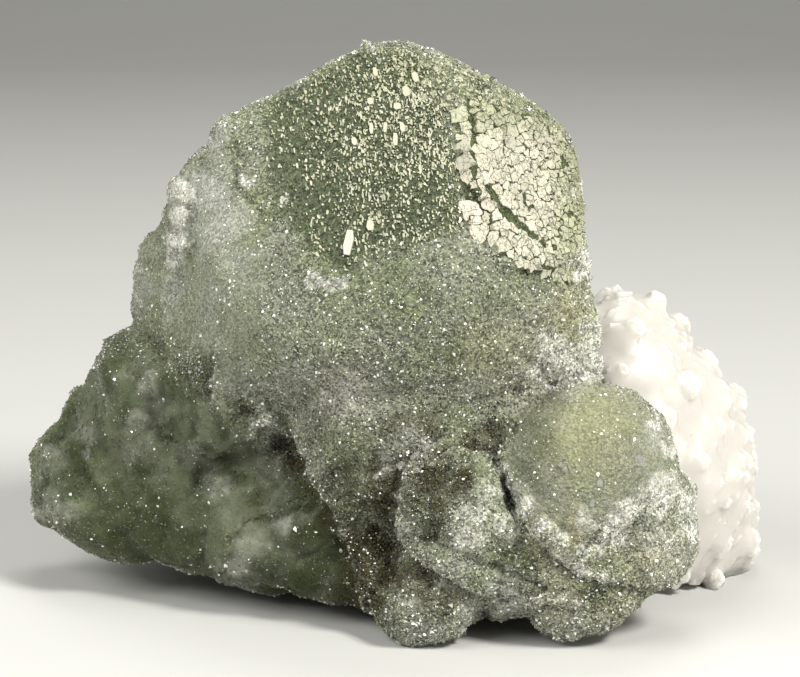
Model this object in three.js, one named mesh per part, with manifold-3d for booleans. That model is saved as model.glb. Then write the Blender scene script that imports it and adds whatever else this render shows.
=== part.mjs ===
// A cabinet-size mineral specimen: intergrown green fluorite crystals on a bed of white quartz points.
// Millimetres. X runs along the specimen's face, Y from its face to its back, Z up from its shelf.
// The fluorite is five growths. Each growth is a cluster of rounded crystals blended into one skin.

import * as THREE from "three";
import { mergeVertices } from "three/addons/utils/BufferGeometryUtils.js";
import Module from "manifold-3d";

const wasm = await Module();
wasm.setup();

// Driving dimensions
const JOINT_GAP = 0.35; // between the fluorite and the quartz that it grew on
const BACK_Y = 30; // the plane where the quartz bed broke from the wall of its pocket
const BACK_LEAN = 5; // degrees that this break leans
const SHELL_THICKNESS = 0.9; // of the younger growths that wrap the foot of the older ones
const PLATE_SIZE = 3.8; // usual width of a plate in the cracked mosaic
const PLATE_CRACK = 0.4; // width of the cracks between plates
const PLATE_RISE = 0.5; // how far the plates stand proud of their face
const PLATE_JITTER = 0.75; // how unevenly the plates are spaced, as a share of their size
const POINT_WIDTH = [4.2, 6.8]; // smallest and largest quartz points
const POINT_HEIGHT = [0.5, 0.64]; // lowest and tallest, as shares of their width
const POINT_WARP = [0.85, 1.15]; // how much wider one way than the other they are
const POINT_LEAN = 0.6; // how strongly each leans its own way
const POINT_COUNT = 170; // quartz points over the whole bed, before the fluorite takes its share
const FACE_SHARPNESS = 20; // power that rounds the edges between crystal faces: higher is sharper
const SKIN_WAVE = 9; // length of the gentle swells in every skin
const SKIN_ROUGH = 0.35; // their height
const BED_ROUGH = 0.6; // their height on the quartz bed
const BEYOND = 160; // wider than the whole specimen, for the blocks that cut it

const radians = THREE.MathUtils.degToRad;
const UP = new THREE.Vector3(0, 1, 0); // the way that cylinders and cones first stand

// Repeatable random numbers from 0 to 1
function seededRandom(seed) {
  let state = seed;
  return () => {
    state = (Math.imul(state, 1664525) + 1013904223) >>> 0;
    return state / 4294967296;
  };
}

const between = ([least, most], share) => least + (most - least) * share;

// three.js geometry to solid, and back
const WELD = 1e-4; // corners closer than this are one

function solidOf(geometry) {
  const bare = new THREE.BufferGeometry();
  bare.setAttribute("position", geometry.getAttribute("position"));
  if (geometry.index) bare.setIndex(geometry.index);
  const merged = mergeVertices(bare, WELD);
  return new wasm.Manifold(
    new wasm.Mesh({
      numProp: 3,
      vertProperties: merged.attributes.position.array,
      triVerts: new Uint32Array(merged.index.array),
    }),
  );
}

function geometryOf(solid) {
  const mesh = solid.getMesh();
  const geometry = new THREE.BufferGeometry();
  geometry.setAttribute("position", new THREE.BufferAttribute(mesh.vertProperties, 3));
  geometry.setIndex(new THREE.BufferAttribute(mesh.triVerts, 1));
  const faceted = geometry.toNonIndexed();
  faceted.computeVertexNormals();
  return faceted;
}

const joined = (solids) => solids.reduce((all, one) => all.add(one));

// The largest body of a solid, so that chips cut loose by a neighbour are dropped
function largestBody(solid) {
  return solid.decompose().reduce((best, one) => (one.volume() > best.volume() ? one : best));
}

// Crystal forms: a face is a direction and how far out it cuts, as a share of the crystal's reach.
const face = (x, y, z, distance) => ({ normal: new THREE.Vector3(x, y, z).normalize(), distance });

function cuboctahedron(cube, octahedron) {
  const faces = [];
  for (const s of [1, -1]) {
    faces.push(face(s, 0, 0, cube), face(0, s, 0, cube), face(0, 0, s, cube));
    for (const t of [1, -1]) {
      for (const u of [1, -1]) faces.push(face(s, t, u, octahedron));
    }
  }
  return faces;
}

// Distance to the surface of a form along a direction: the smooth minimum of its faces and a unit ball
function formRadius(direction, faces) {
  let sum = 1;
  for (const { normal, distance } of faces) {
    const lean = direction.dot(normal);
    if (lean > 0) sum += (lean / distance) ** FACE_SHARPNESS;
  }
  return sum ** (-1 / FACE_SHARPNESS);
}

const HABIT = cuboctahedron(0.86, 0.9);
const BLOCKY = cuboctahedron(0.8, 1.1); // nearer to a cube

// One crystal: its middle, its reach along its own axes, its turn in degrees, and its faces
function crystal(at, reach, turn = [0, 0, 0], faces = HABIT) {
  const rotation = new THREE.Euler(...turn.map(radians));
  return {
    middle: new THREE.Vector3(...at),
    reach: new THREE.Vector3(...reach),
    toOwnAxes: new THREE.Quaternion().setFromEuler(rotation).invert(),
    faces,
  };
}

// How far a place is outside one crystal, measured toward its middle: negative inside
function gapToCrystal(place, { middle, reach, toOwnAxes, faces }) {
  const own = place.clone().sub(middle).applyQuaternion(toOwnAxes);
  const away = own.length();
  own.divide(reach);
  const share = own.length();
  return away * (1 - formRadius(own.divideScalar(share), faces) / share);
}

// How far a place is outside a growth: the smooth minimum over its crystals
function gapToGrowth(place, { crystals, blend }) {
  return crystals.reduce((least, one) => {
    const gap = gapToCrystal(place, one);
    const overlap = Math.max(blend - Math.abs(least - gap), 0) / blend;
    return Math.min(least, gap) - (overlap * overlap * blend) / 4;
  }, BEYOND);
}

// Gentle uneven growth, from -1 to 1, that repeats about every wave
function unevenness({ x, y, z }, wave) {
  const k = (2 * Math.PI) / wave;
  const broad = Math.sin(k * (0.9 * x + 0.3 * z) + 1.3) * Math.sin(k * (0.8 * y - 0.5 * z));
  const cross = Math.sin(k * (0.7 * z - 0.6 * x) + 2.1) * Math.sin(k * (0.6 * y + 0.5 * x));
  return 0.6 * broad + 0.4 * cross;
}

// The place on a growth's skin in one direction from its middle, found by walking in from outside
const WALK = { from: 60, steps: 60, share: 0.7, close: 0.005 }; // each step is a share of the gap

function skinPlace(growth, direction, extra) {
  const place = new THREE.Vector3();
  let out = WALK.from;
  for (let step = 0; step < WALK.steps; step++) {
    place.copy(direction).multiplyScalar(out).add(growth.middle);
    const gap = gapToGrowth(place, growth) - extra;
    if (gap < WALK.close) break;
    out -= gap * WALK.share;
  }
  return place.addScaledVector(direction, growth.rough * unevenness(place, SKIN_WAVE));
}

// The solid of a growth, swollen by extra
function growthSolid(growth, extra = 0) {
  const geometry = new THREE.IcosahedronGeometry(1, growth.detail);
  const points = geometry.getAttribute("position");
  const direction = new THREE.Vector3();
  for (let i = 0; i < points.count; i++) {
    direction.fromBufferAttribute(points, i).multiply(growth.stretch).normalize();
    points.setXYZ(i, ...skinPlace(growth, direction, extra));
  }
  return solidOf(geometry);
}

function growth(middle, stretch, detail, blend, crystals, rough = SKIN_ROUGH) {
  return {
    middle: new THREE.Vector3(...middle),
    stretch: new THREE.Vector3(...stretch),
    detail,
    blend,
    crystals,
    rough,
  };
}

// The main crystal, with the smaller ones that step down behind its left edge
const BARE_LEFT = face(-0.4, -0.735, 0.546, 0.655);
const BARE_RIGHT = face(0.6, -0.645, 0.474, 0.8);
const MAIN_FACES = [
  BARE_LEFT,
  BARE_RIGHT,
  face(0.48, 0.133, 0.867, 0.885),
  face(-0.463, 0.233, 0.855, 0.94),
  face(1, 0.1, 0.05, 0.83),
  face(0.1, 1, 0.25, 0.74),
  face(-0.8, 0.6, 0.1, 0.86),
  face(0.7, 0.7, -0.1, 0.86),
  face(0.3, -0.55, -0.78, 0.97),
];
const MAIN = growth([-3, 2, 45], [1.1, 1, 1.15], 8, 2.4, [
  crystal([1.1, 2, 50.6], [28.6, 28.2, 28.6], [0, 0, 0], MAIN_FACES),
  crystal([-18.2, 5, 55], [10.8, 15, 16], [0, 8, 22]),
  crystal([-22.4, 8, 48], [10.4, 12, 16.4], [0, 3, 20], BLOCKY),
  crystal([-28, 12, 41], [10.2, 11, 12.6], [5, 4, 25], BLOCKY),
  crystal([-19, 1, 37], [13, 13.5, 13.5], [15, 30, 20]),
  crystal([2, -7.5, 27.6], [17, 14.5, 11.5], [0, 15, 25]),
  crystal([16.4, -2, 40], [10.4, 14, 12.6], [10, 0, 30]), // right shoulder above the small crystal
  crystal([-21, 0.6, 29.4], [9.4, 10.4, 8.6], [20, 10, 40]), // lobe below the left flank
]);

// The crystals at the lower right: the small pale one, and those that wrap its foot
const RIGHT = growth([24, -8, 15.6], [1, 1, 1.1], 5, 2.2, [
  crystal([25.2, -13.8, 22.8], [13.6, 12.4, 13], [20, 12, 38]),
  crystal([23.9, -13, 8.9], [8.1, 10, 9.1], [10, 40, 15]), // right foot
  crystal([31.8, -11.5, 14.2], [8.6, 8.6, 8.6], [40, 0, 25]),
  crystal([19, -14, 13.4], [9.6, 9, 8.8], [0, 20, 5]), // apron below the small crystal's left side
  crystal([18, 0, 22], [14, 11, 14]),
]);

// The crystals at the lower middle
const MIDDLE = growth([-2, -2, 15], [1.3, 1, 1], 5, 2.2, [
  crystal([9.8, -12.6, 16], [9.2, 11, 12.4], [30, 10, 20]),
  crystal([14, -8.8, 17], [8.8, 11.6, 11.8], [0, 10, 5]), // between this growth and the right one
  crystal([15.5, -9.5, 30], [8.4, 8.6, 8]), // behind the small crystal's top left
  crystal([15.8, -10.8, 9.2], [9.6, 9.2, 8], [0, 5, 10]), // between the two feet
  crystal([2.5, -9, 24.4], [14.4, 13, 11], [0, 15, 25]),
  crystal([-7.4, -3, 15.8], [12.4, 12.6, 14], [5, 25, 40]),
  crystal([-8.4, -3.5, 9.8], [11.8, 10, 7.4], [20, 10, 5]),
  crystal([-2.4, -6.4, 10.4], [9, 11.4, 8.4], [10, 30, 20]),
  crystal([-18.7, 0, 12.2], [10.8, 10.4, 11.2], [25, 0, 30]),
  crystal([-15, 2.5, 24.5], [11, 10, 10.5], [0, 30, 0]),
]);

// The foot that stands furthest forward
const FOOT = growth([4.4, -13, 7], [1, 1, 1], 3, 2.2, [
  crystal([3.9, -15.2, 5.8], [6.8, 7.6, 7.8], [15, 35, 0]),
  crystal([7, -12, 10], [8.4, 9.4, 8.6], [40, 5, 20]),
]);

// The low crystals that trail off to the left
const LEFT = growth([-32, 11, 17], [1.3, 1, 1], 5, 1.6, [
  crystal([-23.4, 1.8, 30], [9.4, 10, 9.6], [0, 30, 10]), // hanging corner
  crystal([-33.4, 8.5, 29.2], [10.8, 11, 9.8], [10, 5, 15], BLOCKY), // left shoulder
  crystal([-40.4, 12.5, 20], [9.3, 10.5, 9], [10, 45, 20]),
  crystal([-45.7, 15, 14.1], [8.1, 8.4, 9.3], [8, 10, 20], BLOCKY), // far left corner
  crystal([-37.8, 10, 12.8], [13.2, 12, 9], [15, 5, 10]),
  crystal([-26.2, 3.5, 12.9], [11.6, 11, 9.9], [25, 20, 50]),
  crystal([-28, 8, 21], [12, 12, 12], [0, 20, 30]),
  crystal([-31, 20, 14], [13.5, 9, 8.8], [0, 20, 12]), // behind them
]);
const GROWTHS = [MAIN, RIGHT, MIDDLE, FOOT, LEFT];

// A block with an outline seen from the front, reaching back from in front of the specimen
function frontBlock(outline) {
  const shape = new THREE.Shape(outline.map(([x, z]) => new THREE.Vector2(x, z)));
  const block = new THREE.ExtrudeGeometry(shape, { depth: BEYOND / 4, bevelEnabled: false });
  return solidOf(block.rotateX(Math.PI / 2));
}

// Younger growths that wrap the older ones as thin shells, each with an outline in X and Z
const CUP_RIM = [
  [13.5, 25.5], [18, 20.5], [23, 15.2], [27, 14.8], [33, 18.6],
  [41, 23], [46, 8], [34, -6], [12, -6], [13, 12],
];
const LIP_EDGE = [
  [2, 23.5], [0.6, 17], [2.4, 11], [6, 5.5], [14, 4], [19, 9], [13.5, 24.5], [8, 27],
];

function shells(extra) {
  const cup = growthSolid(RIGHT, SHELL_THICKNESS + extra).intersect(frontBlock(CUP_RIM));
  const lip = growthSolid(MIDDLE, SHELL_THICKNESS + extra).intersect(frontBlock(LIP_EDGE));
  return [cup, lip];
}

// The dark hollow where the lip and the cup meet without closing
const HOLLOW = { at: [14.8, -22, 21.8], radii: [1.2, 5, 2.8], tilt: -25 };

function hollow() {
  const ball = new THREE.IcosahedronGeometry(1, 2).scale(...HOLLOW.radii);
  return solidOf(ball.rotateY(radians(HOLLOW.tilt)).translate(...HOLLOW.at));
}

// Larger lone crystals: six-sided columns that stand on the crust or lie half sunk in it
const LONE_CRYSTALS = [
  { at: [-6.2, -16.4, 54], width: 1.7, height: 3.6, along: [-0.26, -0.48, -0.84] },
  { at: [3, -20.4, 26.8], width: 2, height: 5, along: [0.8, 0.1, 0.58] },
  { at: [-4, -0.5, 77.4], width: 2.2, height: 3, along: [-0.3, 0, 1] },
  { at: [-13.2, 2, 72], width: 1.9, height: 2.6, along: [-0.5, 0, 0.8] },
];

function loneCrystal({ at, width, height, along }) {
  const column = new THREE.CylinderGeometry(width / 5, width / 2, height, 6);
  const turn = new THREE.Quaternion().setFromUnitVectors(UP, new THREE.Vector3(...along).normalize());
  return solidOf(column.applyQuaternion(turn).translate(...at));
}

// The cracked mosaic on the bare right face: an oval field of plates, a little sunk in the face
const MOSAIC = { middle: [16.1, -12.9, 60.6], across: 19.4, along: 26, sink: 1.6 };

// Cuts an outline by the line halfway to a neighbouring plate, less half a crack
function cutByNeighbour(outline, own, other) {
  const away = other.clone().sub(own);
  const limit = (away.length() - PLATE_CRACK) / 2;
  away.normalize();
  const kept = [];
  outline.forEach((p, i) => {
    const q = outline[(i + 1) % outline.length];
    const pOver = p.clone().sub(own).dot(away) - limit;
    const qOver = q.clone().sub(own).dot(away) - limit;
    if (pOver <= 0) kept.push(p);
    if (pOver * qOver < 0) kept.push(p.clone().lerp(q, pOver / (pOver - qOver)));
  });
  return kept;
}

// The plates' middles, with one row more all round to cut the outermost plates
function mosaicSeeds(random) {
  const seeds = [];
  const [endX, endY] = [MOSAIC.across / 2 + PLATE_SIZE, MOSAIC.along / 2 + PLATE_SIZE];
  for (let x = -endX; x <= endX; x += PLATE_SIZE) {
    for (let y = -endY; y <= endY; y += PLATE_SIZE) {
      const jitter = () => (random() - 0.5) * PLATE_JITTER * PLATE_SIZE;
      seeds.push(new THREE.Vector2(x + jitter(), y + jitter()));
    }
  }
  return seeds;
}

function mosaicPlates() {
  const random = seededRandom(11);
  const seeds = mosaicSeeds(random);
  const centre = new THREE.Vector3();
  const onFace = new THREE.Matrix4().lookAt(BARE_RIGHT.normal, centre, new THREE.Vector3(0, 0, 1));
  onFace.setPosition(...MOSAIC.middle);
  const inField = ({ x, y }) => Math.hypot(x / MOSAIC.across, y / MOSAIC.along) < 0.5;
  return seeds.filter(inField).map((own) => {
    const half = PLATE_SIZE;
    let outline = [[-half, -half], [half, -half], [half, half], [-half, half]].map(
      ([x, y]) => new THREE.Vector2(own.x + x, own.y + y),
    );
    for (const other of seeds) {
      if (other !== own) outline = cutByNeighbour(outline, own, other);
    }
    const depth = MOSAIC.sink + PLATE_RISE * (0.6 + 0.8 * random());
    const plate = new THREE.ExtrudeGeometry(new THREE.Shape(outline), { depth, bevelEnabled: false });
    return solidOf(plate.translate(0, 0, -MOSAIC.sink).applyMatrix4(onFace));
  });
}

// The quartz bed: smooth swellings, because its points hide them
const swelling = (at, reach) => crystal(at, reach, [0, 0, 0], []);
const BED = growth([16, 15, 17], [1.4, 0.8, 1], 4, 4, [
  swelling([31, 14, 19.6], [14, 15, 22.5]),
  swelling([38.2, 15.2, 15], [12.7, 14, 18]),
  swelling([41, 18.5, 3.5], [12, 9.2, 10]),
  swelling([9, 17.5, 17], [28, 14, 21]),
  swelling([-13, 21, 10], [16, 9, 12.5]),
], BED_ROUGH);

// One quartz point: a six-sided pyramid, steep and a little uneven, with its foot sunk in the bed
function quartzPoint(foot, direction, width, random) {
  const height = width * between(POINT_HEIGHT, random());
  const point = new THREE.ConeGeometry(width / 2, height, 6);
  point.translate(0, height / 10, 0).rotateY(random() * Math.PI);
  point.scale(between(POINT_WARP, random()), 1, 1);
  point.applyQuaternion(new THREE.Quaternion().setFromUnitVectors(UP, direction));
  return solidOf(point.translate(...foot));
}

// Points spread over the bed by the golden angle, each leaning a little its own way
function quartzPoints() {
  const random = seededRandom(5);
  const solids = [];
  for (let i = 0; i < POINT_COUNT; i++) {
    const height = 1 - (2 * i + 1) / POINT_COUNT;
    const ring = Math.sqrt(1 - height * height);
    const angle = i * Math.PI * (3 - Math.sqrt(5));
    const direction = new THREE.Vector3(ring * Math.cos(angle), ring * Math.sin(angle), height);
    direction.multiply(BED.stretch).normalize();
    const foot = skinPlace(BED, direction, 0);
    const jitter = new THREE.Vector3(random() - 0.5, random() - 0.5, random() - 0.5);
    direction.addScaledVector(jitter, POINT_LEAN).normalize();
    const width = between(POINT_WIDTH, random() ** 1.5);
    const hidden = GROWTHS.some((one) => gapToGrowth(foot, one) < -width / 2);
    const standsFree = foot.z > 0 && foot.y < BACK_Y - width / 3;
    if (standsFree && !hidden) solids.push(quartzPoint(foot, direction, width, random));
  }
  return solids;
}

// Blocks that cut the underside flat for the shelf, and the back where the bed broke away
function shelfBlock() {
  return solidOf(new THREE.BoxGeometry(BEYOND, BEYOND, BEYOND).translate(0, 0, -BEYOND / 2));
}

function backBlock() {
  const block = new THREE.BoxGeometry(BEYOND, BEYOND, BEYOND).translate(0, BEYOND / 2, 0);
  return solidOf(block.rotateX(radians(BACK_LEAN)).translate(0, BACK_Y, 20));
}

// The fluorite without its mosaic, swollen by extra when it cuts its seat in the quartz
function fluoriteMass(extra = 0) {
  return joined([...GROWTHS.map((one) => growthSolid(one, extra)), ...shells(extra)]);
}

const shelf = shelfBlock();
const fluorite = largestBody(
  joined([fluoriteMass(), ...mosaicPlates(), ...LONE_CRYSTALS.map(loneCrystal)])
    .subtract(hollow())
    .subtract(shelf),
);
const quartz = largestBody(
  joined([growthSolid(BED), ...quartzPoints()])
    .subtract(fluoriteMass(JOINT_GAP))
    .subtract(backBlock())
    .subtract(shelf),
);

// Meshes
const fluoriteMesh = new THREE.Mesh(
  geometryOf(fluorite),
  new THREE.MeshStandardMaterial({ color: 0x7d8668, roughness: 0.45, metalness: 0 }),
);
fluoriteMesh.name = "fluorite";

const quartzMesh = new THREE.Mesh(
  geometryOf(quartz),
  new THREE.MeshStandardMaterial({ color: 0xf0ede6, roughness: 0.3, metalness: 0 }),
);
quartzMesh.name = "quartz";

const specimen = new THREE.Group();
specimen.add(fluoriteMesh, quartzMesh);

// The origin goes under the middle of the specimen's box, on the shelf.
const box = new THREE.Box3().setFromObject(specimen);
const middle = box.getCenter(new THREE.Vector3());
for (const mesh of specimen.children) mesh.geometry.translate(-middle.x, -middle.y, -box.min.z);

export default specimen;
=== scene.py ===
# %% [markdown]
# # Fluorite on quartz
#
# The photograph shows a cabinet-size mineral specimen. Milky green fluorite crystals have grown
# into each other. A crust of tiny sparkling grains covers all of them, except for two bare faces
# on the large crystal at the top: a dark one on the left with pale flecks, and one on the right
# that carries a cracked mosaic of cream plates. A bed of snow-white quartz points shows at the
# right and holds the fluorite from behind.
#
# The solids of the specimen come in as a fixed frame. This script grows the looks on them.

# %% Tools and frame
import math

import bmesh
import bpy
import numpy as np
from mathutils import Matrix, Vector, noise
from mathutils.bvhtree import BVHTree


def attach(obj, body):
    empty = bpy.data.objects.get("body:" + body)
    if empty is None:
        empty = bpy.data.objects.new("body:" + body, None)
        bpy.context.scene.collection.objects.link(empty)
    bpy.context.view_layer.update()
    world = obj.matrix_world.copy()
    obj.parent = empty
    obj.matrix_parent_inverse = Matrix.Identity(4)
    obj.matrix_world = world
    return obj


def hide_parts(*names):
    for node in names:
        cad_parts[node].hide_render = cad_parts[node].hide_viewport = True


NOISE_SEED = 5  # without it, vectors of smooth noise would come out anew in every run
MM = 0.001

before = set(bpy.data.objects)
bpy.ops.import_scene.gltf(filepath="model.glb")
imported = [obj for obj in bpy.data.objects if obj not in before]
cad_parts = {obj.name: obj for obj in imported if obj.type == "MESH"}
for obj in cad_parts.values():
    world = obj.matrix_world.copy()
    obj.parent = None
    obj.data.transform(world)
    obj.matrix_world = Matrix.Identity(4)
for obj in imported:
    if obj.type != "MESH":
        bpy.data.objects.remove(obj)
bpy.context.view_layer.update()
noise.seed_set(NOISE_SEED)

# %% [markdown]
# ## How the photograph sees the specimen
#
# The photograph looks down by 12 degrees through a long lens. Most features of the specimen are
# known only from it, so their places are written as they are seen there, in pixels from its top
# left corner. `seen` turns points of the specimen into such pixels, and `facing` says how far a
# place is turned towards the photograph, so that a feature never shows through at the back.

# %% The photograph's view
PHOTO_SIZE = (800, 677)
LENS = 120
SENSOR = 36
PIXELS_PER_MM = 7.3  # at the distance of the point that the camera aims at
DOWNWARD = math.radians(12)
AIM = np.array((0.45, -2.46, 37.96)) * MM

distance = LENS / SENSOR * PHOTO_SIZE[0] / PIXELS_PER_MM * MM
SIDEWAYS = np.array((1, 0, 0))
forward = np.array((0, math.cos(DOWNWARD), -math.sin(DOWNWARD)))
upward = np.array((0, math.sin(DOWNWARD), math.cos(DOWNWARD)))
eye = AIM - forward * distance
print("camera distance in mm:", round(distance / MM, 1))


def seen(points):
    """The pixels of the photograph in which points of the specimen lie."""
    away = points - eye
    scale = PIXELS_PER_MM / MM * distance / (away @ forward)
    across = PHOTO_SIZE[0] / 2 + away[:, 0] * scale
    down = PHOTO_SIZE[1] / 2 - (away @ upward) * scale
    return np.stack([across, down], axis=1)


def smooth_step(value, low, high):
    share = np.clip((value - low) / (high - low), 0, 1)
    return share * share * (3 - 2 * share)


def facing(points, normals, away=-0.05, towards=0.25):
    """1 where the specimen faces the photograph, 0 where it is turned away."""
    to_eye = eye - points
    to_eye /= np.linalg.norm(to_eye, axis=1, keepdims=True)
    return smooth_step(np.sum(normals * to_eye, axis=1), away, towards)

# %% [markdown]
# ## The fluorite's skin
#
# The solid's facets are about 3 mm wide. The real surface is rounded by its crust, so the copy is
# rebuilt as an even net of half-millimetre cells and relaxed until the facets melt into each other.
# The creases between neighbouring crystals stay.

# %% Skin
SKIN_CELL = 0.508 * MM
SKIN_RELAX = 8


def link_piece(name, data):
    piece = bpy.data.objects.new(name, data)
    bpy.context.scene.collection.objects.link(piece)
    return piece


def welded_copy(node_name):
    """A copy of a frame node's mesh whose facets share their corners."""
    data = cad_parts[node_name].data.copy()
    shape = bmesh.new()
    shape.from_mesh(data)
    bmesh.ops.remove_doubles(shape, verts=shape.verts, dist=0.001 * MM)
    shape.to_mesh(data)
    shape.free()
    return data


def evenly_rebuilt(name, data, cell, rounds):
    """A piece with the mesh's shape, rebuilt from even cells and relaxed for some rounds."""
    piece = link_piece(name, data)
    remesh = piece.modifiers.new("even_cells", "REMESH")
    remesh.mode = "VOXEL"
    remesh.voxel_size = cell
    relax = piece.modifiers.new("relax", "SMOOTH")
    relax.factor = 0.5
    relax.iterations = rounds
    graph = bpy.context.evaluated_depsgraph_get()
    even = bpy.data.meshes.new_from_object(piece.evaluated_get(graph))
    piece.modifiers.clear()
    piece.data = even
    return piece


skin = evenly_rebuilt("fluorite_skin", welded_copy("fluorite"), SKIN_CELL, SKIN_RELAX)
print("skin cells:", len(skin.data.polygons))

# %% [markdown]
# ## Ledges and grooves in the crust
#
# Seen close, the crust isn't one skin: it ends in ledges where one layer stops over the next, and
# it parts in grooves between the lumps. Each is a line across the photograph. A ledge lifts the
# skin on one side of its line, sharply at the line and fading away behind it. A groove sinks the
# skin along its line. The larger lumps are round domes.

# %% Ledges, grooves and bumps
# Each ledge has its height and the width over which it fades, in millimetres, and its line. The
# raised side is on the right of the line when it is followed in its order.
LEDGES = [
    (0.9, 5.0, [(655, 583), (625, 585), (590, 577), (556, 556), (532, 530), (514, 502), (505, 462)]),
    (0.7, 3.0, [(585, 550), (602, 533), (625, 512), (660, 497), (692, 484)]),
    (0.9, 6.0, [(470, 588), (440, 572), (412, 552), (401, 530), (400, 490), (412, 462), (432, 447)]),
    (0.9, 5.0, [(362, 592), (348, 545), (332, 505), (312, 470), (298, 440), (262, 412)]),
    (0.8, 4.0, [(262, 426), (240, 441), (215, 454), (190, 450), (165, 432)]),
    (0.6, 4.0, [(100, 500), (90, 475), (84, 448), (75, 425), (74, 405)]),
    (0.6, 4.0, [(300, 508), (285, 515), (262, 514), (244, 521), (232, 540), (224, 565)]),
    (0.5, 3.0, [(165, 330), (163, 290), (167, 240)]),
    (0.7, 5.0, [(222, 412), (212, 385), (216, 352)]),
    (0.7, 4.0, [(200, 166), (192, 188), (189, 215), (192, 250)]),
    (0.5, 4.0, [(378, 470), (420, 466), (455, 450), (500, 452)]),
    (0.5, 3.0, [(480, 622), (500, 600), (545, 592), (580, 600)]),
]
# Each groove has its depth and half its width, in millimetres, and its line.
GROOVES = [
    (0.9, 2.2, [(70, 425), (72, 450), (78, 478), (92, 498)]),
    (0.9, 1.8, [(245, 412), (280, 442), (300, 480), (320, 520), (342, 562)]),
    (0.6, 1.6, [(205, 470), (190, 500), (196, 540), (210, 575)]),
    (0.5, 1.4, [(118, 345), (132, 372), (150, 410), (175, 440)]),
    (0.4, 0.5, [(192, 186), (190, 205), (187, 226)]),
    (0.5, 1.0, [(395, 470), (385, 510), (398, 550)]),
    (0.5, 1.0, [(440, 580), (410, 575), (385, 590)]),
    (0.5, 0.6, [(235, 130), (232, 165), (240, 190), (262, 214)]),
    (0.5, 0.8, [(300, 560), (330, 540), (352, 560)]),
    (0.6, 0.8, [(470, 560), (505, 572), (545, 590)]),
]
# Each bump is a dome: pixel across, pixel down, radius in pixels, and height in millimetres.
BUMPS = [
    (150, 384, 16, 0.7), (190, 374, 26, 0.5), (205, 425, 24, 0.5), (128, 440, 34, 0.6),
    (108, 372, 22, 0.5), (48, 456, 20, 0.7), (46, 508, 20, 0.5), (84, 520, 20, 0.4),
    (130, 525, 34, 0.4), (170, 480, 22, 0.4), (217, 488, 20, 0.6), (256, 487, 19, 0.7),
    (250, 550, 30, 0.7), (284, 535, 18, 0.4), (318, 538, 20, 0.5), (300, 580, 16, 0.4),
    (343, 576, 16, 0.4), (322, 478, 14, 0.4), (345, 500, 16, 0.4), (372, 480, 20, 0.5),
    (378, 525, 20, 0.5), (340, 445, 20, 0.4), (485, 490, 20, 0.5), (468, 528, 24, 0.5),
    (508, 528, 16, 0.4), (432, 500, 24, 0.4), (545, 602, 18, 0.4), (625, 598, 18, 0.4),
    (650, 550, 24, 0.4), (183, 192, 14, 0.9), (180, 217, 13, 0.8), (176, 245, 12, 0.6),
    (226, 130, 15, 0.7), (152, 248, 15, 0.6), (328, 282, 14, 0.5), (590, 369, 18, 1.5),
    (562, 372, 18, 1.3), (535, 384, 16, 0.8), (266, 430, 20, 1.2),
]


def to_line(pixels, line):
    """The distance of pixels to a line in millimetres, and on which side of it they are."""
    nearest = np.full(len(pixels), np.inf)
    side = np.zeros(len(pixels))
    for a, b in zip(np.array(line[:-1], float), np.array(line[1:], float)):
        along = b - a
        share = np.clip((pixels - a) @ along / (along @ along), 0, 1)
        away = pixels - a - share[:, None] * along
        length = np.linalg.norm(away, axis=1)
        closer = length < nearest
        nearest[closer] = length[closer]
        side[closer] = np.sign(along[0] * away[closer, 1] - along[1] * away[closer, 0])
    return nearest / PIXELS_PER_MM, side


def from_spot(pixels, across, down, radius):
    """The distance of pixels from a spot's middle, as a share of its radius."""
    return np.hypot(pixels[:, 0] - across, pixels[:, 1] - down) / radius


def ball(away):
    """The height of a unit ball at distances from its middle. Beyond its rim it is 0."""
    return np.sqrt(np.clip(1 - away**2, 0, 1))


def wander(points, wave, reach):
    """Points moved by smooth noise, so that lines and edges run unevenly."""
    return points + np.array([noise.noise_vector(Vector(p) / wave) for p in points]) * reach


def ledge_relief(points, normals):
    """The relief, and how near each point is to a ledge's upper side, where a highlight is
    painted, and to its lower side and the grooves, where shade is painted.
    """
    pixels = seen(wander(points, 1.6 * MM, 0.7 * MM))
    relief, rim_highlight, crease_shade = np.zeros((3, len(points)))
    for *spot, rise in BUMPS:
        relief = np.maximum(relief, rise * ball(from_spot(pixels, *spot)))
    for rise, fade, line in LEDGES:
        away, side = to_line(pixels, line)
        relief += rise * smooth_step(away * side, -0.3, 0.3) * (1 - smooth_step(away, 0.5, fade))
        near = 1 - smooth_step(away, 0.1, 1.6)
        rim_highlight = np.maximum(rim_highlight, np.where(side > 0, near, 0))
        crease_shade = np.maximum(crease_shade, np.where(side > 0, 0, near))
    for depth, half, line in GROOVES:
        away, _ = to_line(pixels, line)
        relief -= depth * (1 - smooth_step(away, 0, half * 1.6))
        crease_shade = np.maximum(crease_shade, 0.6 * (1 - smooth_step(away, 0, half)))
    front = facing(points, normals, -0.5, -0.1)  # the relief runs on a little past the outline
    return relief * MM * front, rim_highlight * front, crease_shade * front

# %% [markdown]
# ## Bare faces
#
# Two outlines bound the large crystal's bare faces, and a third one a strip of thin cream crust
# along its top. Their edges are ragged, and the dark face fades into the crust. Four more outlines
# say how the crust has grown: it is melted into a smooth milky skin on the masses at the lower left,
# fine on the large crystal's left flank and on the small crystal, and coarse on the feet.

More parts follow.
